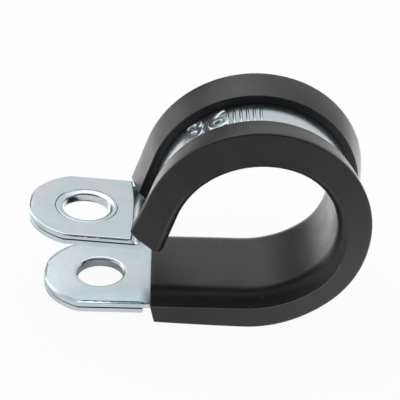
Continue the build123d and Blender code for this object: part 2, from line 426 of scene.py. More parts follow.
def add(tree, kind, feeds=None, **options):
    """A node in a shader or geometry tree, with its options and what feeds its sockets."""
    made = tree.nodes.new(kind)
    for name, value in options.items():
        setattr(made, name, value)
    for socket, value in (feeds or {}).items():
        if isinstance(value, bpy.types.NodeSocket):
            tree.links.new(value, made.inputs[socket])
        else:
            made.inputs[socket].default_value = value
    return made


def maths(tree, operation, *values):
    """A sum of numbers or sockets."""
    return add(tree, "ShaderNodeMath", dict(enumerate(values)), operation=operation).outputs[0]


def vector_maths(tree, operation, first, second, result="Vector"):
    """A sum of two vectors, or of a vector and its scale."""
    feeds = {0: first, "Scale" if operation == "SCALE" else 1: second}
    return add(tree, "ShaderNodeVectorMath", feeds, operation=operation).outputs[result]


def ranged(tree, value, start, end, low=0.0, high=1.0, kind="LINEAR"):
    """A value carried from one range to another."""
    return add(tree, "ShaderNodeMapRange", {
        "Value": value, "From Min": start, "From Max": end, "To Min": low, "To Max": high},
        interpolation_type=kind).outputs[0]


def geometry_tree(name, inputs):
    """A Geometry Nodes tree with a geometry in and out, and named inputs of each kind."""
    tree = bpy.data.node_groups.new(name, "GeometryNodeTree")
    face = tree.interface
    face.new_socket("Geometry", in_out="INPUT", socket_type="NodeSocketGeometry")
    for kind, labels in inputs.items():
        for label in labels:
            face.new_socket(label, in_out="INPUT", socket_type="NodeSocket" + kind)
    face.new_socket("Geometry", in_out="OUTPUT", socket_type="NodeSocketGeometry")
    return tree, add(tree, "NodeGroupInput").outputs


def finish_tree(tree, geometry, material):
    """End a tree: instances made real, and the finish set."""
    real = add(tree, "GeometryNodeRealizeInstances", {"Geometry": geometry})
    dressed = add(tree, "GeometryNodeSetMaterial", {"Geometry": real.outputs[0], "Material": material})
    add(tree, "NodeGroupOutput", {"Geometry": dressed.outputs[0]})


def evaluated_mesh(piece):
    """A plain mesh of the object with its modifiers or its lettering worked out."""
    bpy.context.view_layer.update()
    evaluated = piece.evaluated_get(bpy.context.evaluated_depsgraph_get())
    return bpy.data.meshes.new_from_object(evaluated)


def grown(name, tree, base, values):
    """Run a Geometry Nodes tree on base and keep its result as a plain mesh object."""
    modifier = base.modifiers.new(tree.name, "NODES")
    modifier.node_group = tree
    sockets = {item.name: item.identifier for item in tree.interface.items_tree if item.in_out == "INPUT"}
    for label, value in values.items():
        modifier[sockets[label]] = value
    base.update_tag()
    data = evaluated_mesh(base)
    data.name = name
    data.polygons.foreach_set("material_index", [0] * len(data.polygons))
    base.modifiers.remove(modifier)
    bpy.data.objects.remove(base)
    return linked(name, data)


# The liner

# Steps round half of the rubber's section: inner face, inner corner, side edge, lip and groove edge
FACE_STEPS, CORNER_STEPS, SIDE_EDGE_STEPS, LIP_STEPS, GROOVE_EDGE_STEPS = 5, 11, 6, 12, 5
# Faces of that half that carry the painted highlight along the crease, and how many creases below the inner
# corner they end
CREASE = (FACE_STEPS + CORNER_STEPS, FACE_STEPS + CORNER_STEPS + 1)
CREASE_FALLS = (0.9, 1.8)
# Down the liner's side below its lip, up the groove's wall, and along the strap from that wall
SIDE_LOOPS = (1.15 * MM, 0.5 * MM)
WALL_FOOT = 0.12 * MM
WALL_TOE = 0.08 * MM
# Rounding of the groove's edge as a share of the side edge's
GROOVE_EDGE = 0.7
# Steps along the lower run, along the upper arm and over a cut end's rim, and the loop's turn to a step
RUN_STEPS, ARM_STEPS, CAP_STEPS = 12, 10, 3
TURN_STEP = radians(2.0)
# How late the front lip's flare sets in towards the upper end
FLARE_CURVE = 1.5


def bulge(share):
    """Height of a bow over its chord: none at both ends, one in the middle."""
    return 4 * share * (1 - share)


def limited(share):
    return min(1.0, max(0.0, share))


def liner_half_section(strap, liner, bent):
    """Half of the rubber's closed section, from the middle of its inner face to its slot.

    Each point says whether it is measured from the strap, then how deep and how far across.
    The inner corner is drawn tighter where the loop is bent.
    """
    side = strap.width / 2 + liner.fit + liner.side_wall
    wide = liner.corner_across * (1 - bent) + liner.bent_across * bent
    sunk = liner.corner_deep * (1 - bent) + liner.bent_deep * bent
    flat = side - wide
    points = [(False, 0.0, flat * i / FACE_STEPS) for i in range(FACE_STEPS)]
    for i in range(CORNER_STEPS + 1):
        lean = liner.corner_turn * i / CORNER_STEPS
        fall = (1 - cos(lean)) / (1 - cos(liner.corner_turn))
        reach = flat + (wide - liner.crease) * sin(lean) / sin(liner.corner_turn)
        points.append((False, sunk * fall, reach))
    points += [(False, sunk + liner.crease * fall, side) for fall in CREASE_FALLS]
    high, low = strap.sheet + liner.lip_at_side, strap.sheet + liner.lip_at_groove
    inner, edge = liner.groove / 2, liner.edge
    points += [(True, high - down, side) for down in SIDE_LOOPS]
    small = edge * GROOVE_EDGE
    for sine, cosine in quarter(SIDE_EDGE_STEPS):
        points.append((True, high - edge * (1 - sine), side - edge * (1 - cosine)))
    for i in range(1, LIP_STEPS):
        share = i / LIP_STEPS
        across = (side - edge) * (1 - share) + (inner + small) * share
        deep = high * (1 - share) + low * share + liner.lip_crown * bulge(share)
        points.append((True, deep, across))
    for sine, cosine in quarter(GROOVE_EDGE_STEPS):
        points.append((True, low - small * (1 - cosine), inner + small * (1 - sine)))
    out, over = strap.sheet + liner.fit, strap.width / 2 + liner.fit
    slot = ((out + WALL_FOOT, inner), (out, inner + WALL_TOE), (out, over), (-liner.fit, over),
            (-liner.fit, over / 2))
    return points + [(True, deep, across) for deep, across in slot]


def liner_stations(loop, strap, liner):
    """Matched stations: points on the inner face and on the strap, heading, and nearness to each end."""
    band_end = loop_end(loop, band_heel(loop), band_radii(loop))
    land_end = loop_end(loop, land_heel(loop), land_radii(loop))
    turned = sum(loop_turns(loop))
    at_strap = arm_length(loop, strap) - liner.upper_clear
    slope = tan(liner.upper_rake)
    step_in = (band_end - land_end).dot(outward(turned))
    land_arm = (band_end - land_end).dot(ahead(turned)) + at_strap + (step_in + strap.sheet) * slope
    band_arm = at_strap + strap.sheet * slope
    counts = [RUN_STEPS] + [arc_steps(turn, TURN_STEP) for turn in loop_turns(loop)] + [ARM_STEPS]
    lines = []
    for heel, radii, lead, arm in (
        (land_heel(loop), land_radii(loop), 0.0, land_arm),
        (band_heel(loop), band_radii(loop), loop.heel_lead, band_arm),
    ):
        run = loop.lower_run + lead
        start = heel - Vector((run, 0.0, 0.0))
        lines.append(follow(start, [(run,)] + loop_moves(loop, radii) + [(arm,)], counts))
    last = len(lines[0]) - 1
    stations = []
    for i, ((land, heading), (band, _)) in enumerate(zip(*lines)):
        lower = max(0.0, 1 - i / RUN_STEPS)
        upper = max(0.0, 1 - (last - i) / ARM_STEPS)
        stations.append((land, band, heading, lower, upper))
    return stations


def inset_section(section, amount):
    """The section's closed outline moved into the rubber."""
    if amount == 0.0:
        return section
    moved = []
    for i, (on_strap, deep, across) in enumerate(section):
        before, after = section[i - 1], section[(i + 1) % len(section)]
        run = Vector((after[1] - before[1], after[2] - before[2]))
        if on_strap != before[0] or on_strap != after[0]:
            run = Vector((1.0 if across > 0 else -1.0, 0.0))
        run.normalize()
        moved.append((on_strap, deep + run.y * amount, across - run.x * amount))
    return moved


def bent_share(liner, heading):
    """How much of the bend's tighter corner the liner has at this turn of the loop."""
    share = limited((heading - liner.bent_from) / (liner.bent_full - liner.bent_from))
    return share * share * (3 - 2 * share)


def liner_section(strap, liner, heading):
    """The rubber's whole closed section at this turn of the loop."""
    half = liner_half_section(strap, liner, bent_share(liner, heading))
    section = half + [(on, deep, -across) for on, deep, across in reversed(half[1:])]
    section.insert(len(half), (True, -liner.fit, 0.0))
    return section


def lip_rise(liner, station, across):
    """How much higher than usual a lip stands: swollen under the heel, lower in front round the bend."""
    heading, lower = station[2:4]
    under = max(0.0, cos(2 * min(heading, QUARTER))) ** 2
    rise = liner.heel_swell * under * (1 - lower) - liner.heel_sink * lower ** 2
    return rise - (liner.front_drop * bent_share(liner, heading) if across < 0 else 0.0)


def liner_ring(station, section, loop, strap, liner):
    """One closed ring of the liner: cut ends slanted, and lips spread at the upper end."""
    land, band, heading, lower, upper = station
    lip = loop.pad + strap.sheet + liner.lip_at_side
    ring = []
    for on_strap, deep, across in section:
        point = (band if on_strap else land) + outward(heading) * deep + ACROSS * across
        whole = deep + loop.pad if on_strap else deep
        lean = liner.lower_slant * max(0.0, whole - liner.corner_deep) / (lip - liner.corner_deep)
        shift = lower * lean - upper * deep * tan(liner.upper_rake)
        shift += upper * liner.end_swell * bulge(whole / lip)
        point += ahead(heading) * shift
        if on_strap and deep > strap.sheet:
            share = (deep - strap.sheet) / liner.lip_at_side
            spread_out = liner.flare * upper ** FLARE_CURVE if across < 0 else 0.0
            point += outward(heading) * ((spread_out + lip_rise(liner, station, across)) * share)
            past = across - liner.groove / 2
            rear = max(0.0, past) / (strap.width / 2 + liner.side_wall - liner.groove / 2)
            point += ahead(heading) * (liner.rear_reach * upper * rear)
        ring.append(point)
    return ring


def cut_end(station, section, way, loop, strap, liner):
    """Rings that round the rim of a cut end; way is 1 at the upper end and -1 at the lower one."""
    rings = []
    for sine, cosine in quarter(CAP_STEPS):
        inset = inset_section(section, liner.cut_edge * (1 - cosine))
        push = ahead(station[2]) * (way * liner.cut_edge * (sine - 1))
        rings.append([point + push for point in liner_ring(station, inset, loop, strap, liner)])
    return rings


def build_liner(settings, materials):
    loop, strap, liner = settings.loop, settings.strap, settings.liner
    stations = liner_stations(loop, strap, liner)
    sections = [liner_section(strap, liner, station[2]) for station in stations]
    body = [liner_ring(*pair, loop, strap, liner) for pair in zip(stations, sections)]
    lower_end = cut_end(stations[0], sections[0], -1, loop, strap, liner)
    upper_end = cut_end(stations[-1], sections[-1], 1, loop, strap, liner)
    rings = list(reversed(lower_end)) + body[1:-1] + upper_end
    size = len(sections[0])
    verts = [point for ring in rings for point in ring]
    faces, painted_crease_highlight = [], []
    for i in range(len(rings) - 1):
        near = stations[min(max(i - CAP_STEPS, 0), len(stations) - 1)]
        straight = bent_share(liner, near[2]) < 0.5
        for j in range(size):
            k = (j + 1) % size
            # Faces along the crease, where the loop is straight, carry the painted highlight.
            if straight and (j in CREASE or size - 1 - j in CREASE):
                painted_crease_highlight.append(len(faces))
            faces.append((i * size + j, i * size + k, (i + 1) * size + k, (i + 1) * size + j))
    faces.append(tuple(range(size)))
    faces.append(tuple(len(verts) - size + j for j in range(size)))
    piece = mesh_object("liner", verts, faces)
    for i in painted_crease_highlight:
        piece.data.polygons[i].material_index = 1
    work = bmesh.new()
    work.from_mesh(piece.data)
    bmesh.ops.triangulate(work, faces=[face for face in work.faces if len(face.verts) > 4])
    work.to_mesh(piece.data)
    work.free()
    settle(piece, materials, sharp=radians(40))
    return piece


# The strap

COLUMN_STEPS = 24
ROLL_STEPS = 4
# Rows of the tear under a rolled edge: share of its depth, fall below the roll, and more where ragged
TEAR_ROWS = ((0.9, 0.01 * MM, 0.05 * MM), (1.0, 0.05 * MM, 0.08 * MM), (0.1, 0.07 * MM, 0.12 * MM))
# Share of the sheet's thickness where its cut side has a row of its own
SIDE_MIDDLE = 0.55


def strip_columns(strap):
    """Places across the flat of the strip that its ears and its band share."""
    flat = strap.width / 2 - strap.roll
    return [flat * (2 * i / COLUMN_STEPS - 1) for i in range(COLUMN_STEPS + 1)]


def strip_section(strap):
    """Closed section of the strip as shares of its sizes: (face, width) and the part of the roll."""
    flat = strap.width / 2 - strap.roll
    side = [(fall / strap.sheet, 1.0) for _, fall, _ in TEAR_ROWS] + [(SIDE_MIDDLE, 0.0)]
    shares, rolls = [], []
    for face, way in ((1.0, 1.0), (0.0, -1.0)):
        for column in strip_columns(strap):
            shares.append(Vector((face, way * column / flat, 0.0)))
            rolls.append(Vector((0.0, -way * column / flat, 0.0)))
        for sine, cosine in quarter(ROLL_STEPS, 1):
            shares.append(Vector((face, way, 0.0)))
            rolls.append(Vector((-way * (1 - cosine), way * (sine - 1), 0.0)))
        for share, lift in (reversed(side) if face == 1.0 else side):
            shares.append(Vector((share, way, 0.0)))
            rolls.append(Vector((lift, 0.0, 0.0)))
        for sine, cosine in reversed(quarter(ROLL_STEPS, 1)):
            shares.append(Vector((1.0 - face, way, 0.0)))
            rolls.append(Vector((way * (1 - cosine), way * (sine - 1), 0.0)))
    return shares, rolls


def carried_section_tree():
    """Geometry Nodes: a closed section carried along stations that know which way is outward."""
    tree, inputs = geometry_tree("Strip along the clip", {
        "Object": ("Section",),
        "Float": ("Sheet thickness", "Half width", "Edge roll"),
        "Material": ("Finish",),
    })
    section = add(tree, "GeometryNodeObjectInfo", {"Object": inputs["Section"]}).outputs["Geometry"]
    stations = inputs["Geometry"]
    along = add(tree, "GeometryNodeAttributeDomainSize", {"Geometry": stations}).outputs["Point Count"]
    around = add(tree, "GeometryNodeAttributeDomainSize", {"Geometry": section}).outputs["Point Count"]
    columns = maths(tree, "ADD", around, 1.0)
    grid = add(tree, "GeometryNodeMeshGrid", {"Vertices X": columns, "Vertices Y": along}).outputs["Mesh"]
    index = add(tree, "GeometryNodeInputIndex").outputs[0]
    station = maths(tree, "MODULO", index, along)
    corner = maths(tree, "MODULO", maths(tree, "FLOOR", maths(tree, "DIVIDE", index, along)), around)

    def taken(geometry, value, place):
        feeds = {"Geometry": geometry, "Value": value, "Index": place}
        return add(tree, "GeometryNodeSampleIndex", feeds, data_type="FLOAT_VECTOR").outputs["Value"]

    def named(attribute):
        return add(tree, "GeometryNodeInputNamedAttribute", {"Name": attribute},
                   data_type="FLOAT_VECTOR").outputs["Attribute"]

    place = add(tree, "GeometryNodeInputPosition").outputs[0]
    sizes = add(tree, "ShaderNodeCombineXYZ", {"X": inputs["Sheet thickness"], "Y": inputs["Half width"]})
    flat = vector_maths(tree, "MULTIPLY", taken(section, place, corner), sizes.outputs[0])
    rolled = vector_maths(tree, "SCALE", taken(section, named("roll"), corner), inputs["Edge roll"])
    local = vector_maths(tree, "ADD", flat, rolled)
    parts = add(tree, "ShaderNodeSeparateXYZ", {0: local}).outputs
    deep = vector_maths(tree, "SCALE", taken(stations, named("outward"), station), parts["X"])
    wide = add(tree, "ShaderNodeCombineXYZ", {"Y": parts["Y"]}).outputs[0]
    lifted = vector_maths(tree, "ADD", taken(stations, place, station), deep)
    final = vector_maths(tree, "ADD", lifted, wide)
    laid = add(tree, "GeometryNodeSetPosition", {"Geometry": grid, "Position": final}).outputs[0]
    closed = add(tree, "GeometryNodeMergeByDistance", {"Geometry": laid, "Distance": WELD}).outputs[0]
    finish_tree(tree, closed, inputs["Finish"])
    return tree


def vector_attribute(piece, name, values):
    held = piece.data.attributes.new(name, "FLOAT_VECTOR", "POINT")
    held.data.foreach_set("vector", [number for value in values for number in value])


# Steps of the band's level stretch, arm and flat behind the upper ear, and its bend's turn to a step
LEVEL_STEPS, STRAIGHT_STEPS, SHANK_STEPS = 6, 4, 1
BEND_STEP = radians(4.0)


def band_line(loop, strap):
    """Stations of the strap's band, from the lower ear's plate round to the upper ear's."""
    joint = strap.joint
    start = lower_hole(loop) + Vector((joint, 0.0, 0.0))
    turned, flat = sum(loop_turns(loop)), ear_heading(loop)
    moves = [(band_heel(loop).x - start.x,)] + loop_moves(loop, band_radii(loop))
    moves += [(arm_length(loop, strap),), (loop.bend_inside + strap.sheet, flat - turned)]
    moves += [(loop.upper_shank - joint,)]
    counts = [LEVEL_STEPS] + [arc_steps(turn, TURN_STEP) for turn in loop_turns(loop)]
    counts += [STRAIGHT_STEPS, arc_steps(flat - turned, BEND_STEP), SHANK_STEPS]
    return follow(start, moves, counts)


def build_band(settings, material):
    loop, strap = settings.loop, settings.strap
    line = band_line(loop, strap)
    stations = mesh_object("stations", [point for point, _ in line], [])
    vector_attribute(stations, "outward", [outward(heading) for _, heading in line])
    shares, rolls = strip_section(strap)
    section = mesh_object("section", shares, [])
    vector_attribute(section, "roll", rolls)
    band = grown("band", carried_section_tree(), stations, {
        "Section": section,
        "Sheet thickness": strap.sheet,
        "Half width": strap.width / 2,
        "Edge roll": strap.roll,
        "Finish": material,
    })
    bpy.data.objects.remove(section)
    return band


def ear_frames(loop, strap):
    """Each ear's place: its hole on the clamping face, the way to its tip, and the way out of the face."""
    line = band_line(loop, strap)
    last, heading = line[-1]
    upper = last + ahead(heading) * strap.joint
    return (
        (lower_hole(loop), Vector((-1.0, 0.0, 0.0)), Vector((0.0, 0.0, -1.0))),
        (upper, ahead(heading), outward(heading)),
    )


# Angle between rays from the hole, and between a ray and the fold's slit, in radians
RAY_STEP = radians(0.9)
SLIT_RAYS = 0.001
NEARLY_NOTHING = 1e-9


def tip_outline(strap, way, inset):
    """Where a ray from the hole meets the ear's side or round tip, and the way out there."""
    half = strap.width / 2 - inset
    radius = strap.tip_radius - inset
    fold = strap.sheet + strap.fold_gap / 2
    notch = strap.bridge / 2 + strap.bridge_relief
    x, y = cos(way), sin(way)
    reach = radius
    normal = Vector((x, y))
    if abs(y) * radius > half or x < 0:
        reach = half / max(abs(y), NEARLY_NOTHING)
        normal = Vector((0.0, 1.0 if y > 0 else -1.0))
    bottom = strap.tip_radius - fold
    if x > 0 and abs(y) * bottom / x < notch:
        reach = (bottom - inset) / x
        normal = Vector((1.0, 0.0))
    return reach, normal


def tip_start(strap):
    """How far past the hole an ear's straight sides reach before its round tip."""
    return (strap.tip_radius ** 2 - (strap.width / 2) ** 2) ** 0.5


def tip_ways(strap, back):
    """Ray directions round an ear from one back corner to the other, past the tip."""
    half = strap.width / 2 - strap.roll
    corner = atan2(half, -back)
    fold = strap.tip_radius - strap.sheet - strap.fold_gap / 2
    notch = atan2(strap.bridge / 2 + strap.bridge_relief, fold)
    stops = [0.0, notch - SLIT_RAYS, notch + SLIT_RAYS, atan2(half, tip_start(strap)), corner]
    ways = [0.0]
    for low, high in zip(stops, stops[1:]):
        steps = arc_steps(high - low, RAY_STEP)
        ways += [low + (high - low) * i / steps for i in range(1, steps + 1)]
    return [-way for way in reversed(ways[1:])] + ways


# Stretches over which the wide roll fades at the fold and at the joint
FOLD_FADE = 3.0 * MM
JOINT_FADE = 0.8 * MM
# From this many edge rolls on, a roll's first rows differ: how far in, more where ragged, and their falls
WIDE_ROLL = 1.5
ROLL_START = 0.1 * MM
ROLL_WAVER = 0.16 * MM
ROLL_MIDDLE = 0.3
ROLL_END = 0.04 * MM
ROLL_FALLS = (0.015 * MM, 0.03 * MM, 0.05 * MM)


def rolled_width(strap, index, x, y, back):
    """Width of the rolled-over edge: wide on the lower ear, fading at the fold and at the joint."""
    if index:
        return strap.roll
    past = abs(y) - strap.bridge / 2 - strap.bridge_relief
    share = limited(past / FOLD_FADE) * limited((x + back) / JOINT_FADE)
    return strap.roll + (strap.rollover - strap.roll) * share


def edge_profile(strap, share, wide):
    """How a sheared edge falls from its flat: rolled over, then a ragged line, then the cut side."""
    roll, sheet = strap.roll, strap.sheet
    rows = [(roll - wide * (1 - sine), roll * (1 - cosine)) for sine, cosine in quarter(ROLL_STEPS, 1)]
    if wide > WIDE_ROLL * roll:
        start = roll - wide + (ROLL_START + ROLL_WAVER * share)
        rows[:3] = zip((start, roll - wide * ROLL_MIDDLE, roll - ROLL_END), ROLL_FALLS)
    ragged = strap.tear * share if wide <= roll else 0.0
    for cut, fall, more in TEAR_ROWS:
        rows.append((roll - ragged * cut, roll + fall + more * share))
    rows.append((roll, sheet * SIDE_MIDDLE))
    for sine, cosine in reversed(quarter(ROLL_STEPS, 1)):
        rows.append((roll * sine, sheet - roll * (1 - cosine)))
    return rows


# Rounds of closing in on the place where a ray meets a bowed end
BOW_TRIES = 6


def back_edge(strap, flap, bows, way):
    """Where a ray from the hole meets a flap's bowed back end."""
    x, y = cos(way), sin(way)
    reach = -flap / x
    for _ in range(BOW_TRIES):
        across = reach * y
        bow = bows[0] if across < 0 else bows[1]
        reach = (bow * (across / (strap.width / 2)) ** 2 - flap) / x
    return reach


# Rounding at the collar's foot, and round its lip: how far in, and how far below the top
COLLAR_FOOT = (0.04 * MM, 0.12 * MM)
LIP_ROUND = ((0.0, 0.2 * MM), (0.0, 0.06 * MM), (0.02 * MM, 0.015 * MM), (0.07 * MM, 0.0))
MOUTH_STEPS, ENTRY_STEPS = 12, 8


def collar_rings(strap):
    """Profile of the drawn collar as (radius, height), from the flat outside it to the flat inside."""
    radius, sheet = strap.hole / 2, strap.sheet
    top = 2 * sheet + strap.fold_gap
    lip, wall = radius + strap.collar_lip, radius + strap.collar_wall
    rows = [(wall, sheet), (wall + COLLAR_FOOT[0], sheet + COLLAR_FOOT[1])]
    rows += [(lip - inward, top - down) for inward, down in LIP_ROUND]
    mouth = strap.collar_lip - LIP_ROUND[-1][0]
    for sine, cosine in quarter(MOUTH_STEPS, 1):
        rows.append((radius + mouth * (1 - sine), top - strap.flare * (1 - cosine)))
    for sine, cosine in quarter(ENTRY_STEPS):
        rows.append((radius + strap.entry * (1 - cosine), strap.entry * (1 - sine)))
    return rows


class Plate:
    """Vertices and faces of an ear in its own frame: to the tip, across, and out of its clamping face."""

    def __init__(self, place):
        self.place = place
        self.verts = []
        self.faces = []
        self.torn_and_shaded = []

    def point(self, along, across, out):
        hole, to_tip, normal = self.place
        self.verts.append(hole + to_tip * along + ACROSS * across + normal * out)
        return len(self.verts) - 1

    def ring(self, rims, out):
        return [self.point(x, y, out) for x, y in rims]

    def band(self, first, second, closed=True, torn_and_shaded=None):
        n = len(first)
        for i in range(n if closed else n - 1):
            j = (i + 1) % n
            if torn_and_shaded and torn_and_shaded[i]:
                self.torn_and_shaded.append(len(self.faces))
            self.faces.append((first[i], first[j], second[j], second[i]))

    def tube(self, rings):
        for first, second in zip(rings, rings[1:]):
            self.band(first, second)

    def built(self, name):
        """The plate as an object, with its tear-line faces and seam faces in the second finish: dull metal
        and painted shade.
        """
        made = mesh_object(name, self.verts, self.faces)
        for i in self.torn_and_shaded:
            made.data.polygons[i].material_index = 1
        return made


def spread(inner, rims, share, tight=0.0):
    """Points between a circle round the hole and the rim; tight draws the circle in across the ear."""
    points = []
    for way, x, y in rims:
        radius = (inner - tight * sin(way) ** 2) * (1 - share)
        points.append((radius * cos(way) + x * share, radius * sin(way) + y * share))
    return points


# Rings from an ear's rim in to its hole, as shares of the way, and steps along a flap's back end
TO_HOLE = (1.0, 0.97, 0.85, 0.6, 0.3, 0.04)
BACK_STEPS = 30
# Stretches over which the tear fades at the round tip and behind
TIP_FADE = 0.8 * MM
BACK_FADE = 0.5 * MM
# Length of the tear's teeth, how far apart two edges read their noise, and how the noise sets the depth
TOOTH = 0.55 * MM
LAYER_STRIDE, SIDE_STRIDE = 7.3, 3.1
LEAST_TEAR, MEAN_TEAR, TEAR_SWING = 0.1, 0.7, 1.3
# A tear deeper than this share shows, and a rim that faces this much sideways is a straight side
TEAR_SHOWS = 0.05
SIDEWAYS = 0.99
SEAT_EDGE = 0.05 * MM


def tear_share(strap, place, x, y, back):
    """How ragged the sheared edge is here: only along the straight sides, fading at each end."""
    if abs(y) < strap.width / 2 - strap.roll - WELD / 2:
        return 0.0
    fade = limited((tip_start(strap) - x) / TIP_FADE) * limited((x + back) / BACK_FADE)
    rough = noise.noise(Vector((x / TOOTH, place * LAYER_STRIDE + (SIDE_STRIDE if y > 0 else 0.0), 0.0)))
    return fade * min(1.0, max(LEAST_TEAR, MEAN_TEAR + TEAR_SWING * rough))


def edge_band(plate, strap, flats, rims, normals, tears, wides, out, way, closed, torn_rows):
    """An edge from one flat's rim to the other's: rolled, ragged and given the dull tear finish in the rows
    named, and shut in at the fold, where its last rows carry that finish as painted shade in the seam.
    """
    rows = [flats[0]]
    tears = tears if torn_rows else [0.0] * len(tears)
    for k in range(len(edge_profile(strap, 0.0, strap.roll))):
        row = []
        for (_, x, y), normal, share, wide in zip(rims, normals, tears, wides):
            push, fall = edge_profile(strap, share, wide)[k]
            row.append(plate.point(x + normal.x * push, y + normal.y * push, out + way * fall))
        rows.append(row)
    rows.append(flats[1])
    ragged = [share > TEAR_SHOWS for share in tears]
    straight = [abs(normal.y) > SIDEWAYS for normal in normals]
    last = len(rows) - 2
    # The tear rows' dark finish is partly the dull metal and partly painted shade of the groove; the last
    # rows, by the seam between the layers, and the row before them on the straight sides, get it as painted
    # shade.
    for k, (first, second) in enumerate(zip(rows, rows[1:])):
        torn_and_shaded = None
        if k in torn_rows:
            torn_and_shaded = ragged
        elif k >= last - 1:
            torn_and_shaded = [True] * len(tears)
        elif k == last - 2:
            torn_and_shaded = straight
        plate.band(first, second, closed, torn_and_shaded)


def side_rims(strap, ways, place, back):
    """Along an ear's sides and tip: its rim's rays and points, the ways out, and how ragged it is."""
    rims, normals, tears = [], [], []
    for way in ways:
        reach, normal = tip_outline(strap, way, strap.roll)
        x, y = cos(way) * reach, sin(way) * reach
        rims.append((way, x, y))
        normals.append(normal)
        tears.append(tear_share(strap, place, x, y, back))
    return rims, normals, tears


def main_layer(plate, strap, index):
    """The ear's first layer with its drawn collar, open behind where the band joins it."""
    back = strap.joint
    rims, normals, tears = side_rims(strap, tip_ways(strap, back), index, back)
    wides = [rolled_width(strap, index, x, y, back) for _, x, y in rims]
    low_rims = []
    for (way, x, y), normal, wide in zip(rims, normals, wides):
        drawn = wide - strap.roll
        low_rims.append((way, x - normal.x * drawn, y - normal.y * drawn))
    behind = [(atan2(y, -back), -back, y) for y in reversed(strip_columns(strap)[1:-1])]
    loop_rims, low_rims = rims + behind, low_rims + behind
    rows = collar_rings(strap)
    wall, mouth = rows[0][0], strap.hole / 2 + strap.entry
    chain = [plate.ring(spread(wall, loop_rims, share), strap.sheet) for share in TO_HOLE]
    chain += [plate.ring(spread(radius, loop_rims, 0.0), out) for radius, out in rows]
    chain += [plate.ring(spread(mouth, low_rims, share), 0.0) for share in reversed(TO_HOLE)]
    plate.tube(chain)
    n = len(rims)
    flats = (chain[-1][:n], chain[0][:n])
    torn_rows = (0,) if index == 0 else ()
    edge_band(plate, strap, flats, rims, normals, tears, wides, 0.0, 1, False, torn_rows)


def flap_layer(plate, strap, index, flap, bows):
    """The layer folded back over the first, with the seat round the collar."""
    low = strap.sheet + strap.fold_gap
    top = low + strap.sheet
    seat = strap.hole / 2 + strap.collar_lip + strap.collar_gap
    corner_x = [-(flap - bow) + strap.roll for bow in bows[:2]]
    half = strap.width / 2 - strap.roll
    ways = [w for w in tip_ways(strap, flap) if atan2(-half, corner_x[0]) < w < atan2(half, corner_x[1])]
    ways = [atan2(-half, corner_x[0])] + ways + [atan2(half, corner_x[1])]
    rims, normals, tears = side_rims(strap, ways, index + 2, flap - bows[0])
    for i in (0, -1):
        normals[i] = Vector((-1.0, normals[i].y))
    rest = ways[0] + 2 * pi - ways[-1]
    for i in range(1, BACK_STEPS):
        way = ways[-1] + rest * i / BACK_STEPS
        reach = back_edge(strap, flap - strap.roll, bows, way)
        rims.append((way, cos(way) * reach, sin(way) * reach))
        normals.append(Vector((-1.0, 0.0)))
        tears.append(0.0)
    chain = [plate.ring(spread(seat, rims, share), top) for share in TO_HOLE]
    for more, out in ((SEAT_EDGE, top), (0.0, top - SEAT_EDGE), (0.0, low)):
        chain.append(plate.ring(spread(seat + more, rims, 0.0, strap.collar_gap), out))
    chain += [plate.ring(spread(seat, rims, share), low) for share in reversed(TO_HOLE[:-1])]
    plate.tube(chain)
    flats = (chain[0], chain[-1])
    wides = [strap.roll] * len(rims)
    torn_rows = (ROLL_STEPS, ROLL_STEPS + 1) if index == 1 else ()
    edge_band(plate, strap, flats, rims, normals, tears, wides, top, -1, True, torn_rows)


# How flat the fold is pressed, where 1 is round, and steps round it, inside it and across it
PRESS = 0.55
FOLD_STEPS, INSIDE_STEPS, BRIDGE_STEPS = 24, 4, 8


def pressed(value):
    """A circle's sine or cosine pushed towards a square, as a fold pressed flat."""
    return abs(value) ** PRESS * (1 if value >= 0 else -1)


def fold_bridge(plate, strap):
    """The pressed fold that joins an ear's two layers at its tip."""
    sheet, inner = strap.sheet, strap.fold_gap / 2
    middle = outer = sheet + inner
    centre = strap.tip_radius - outer
    start = centre - strap.fold_lap
    profile = [(start, middle + outer)]
    for i in range(FOLD_STEPS + 1):
        turn = pi * i / FOLD_STEPS
        profile.append((centre + outer * pressed(sin(turn)), middle + outer * pressed(cos(turn))))
    profile += [(start, middle - outer), (start, sheet)]
    for i in range(INSIDE_STEPS + 1):
        turn = pi * i / INSIDE_STEPS
        profile.append((centre + inner * sin(turn), middle - inner * cos(turn)))
    profile.append((start, sheet + strap.fold_gap))
    rows = []
    for i in range(BRIDGE_STEPS + 1):
        across = strap.bridge * (i / BRIDGE_STEPS - 0.5)
        back = strap.tip_radius - (strap.tip_radius ** 2 - across ** 2) ** 0.5
        places = [(x - back * max(0.0, x - centre) / outer, out) for x, out in profile]
        rows.append([plate.point(x, across, out) for x, out in places])
    plate.tube(rows)
    plate.faces += [tuple(rows[0]), tuple(rows[-1])]


def build_ears(settings):
    loop, strap = settings.loop, settings.strap
    made = []
    flaps = ((strap.lower_flap, strap.lower_skew), (strap.upper_flap, strap.upper_skew))
    for index, (place, (flap, bows)) in enumerate(zip(ear_frames(loop, strap), flaps)):
        plate = Plate(place)
        main_layer(plate, strap, index)
        flap_layer(plate, strap, index, flap, bows)
        made.append(plate.built(f"ear_{index}"))
        fold = Plate(place)
        fold_bridge(fold, strap)
        made.append(fold.built(f"fold_{index}"))
    return made


# The raised mark

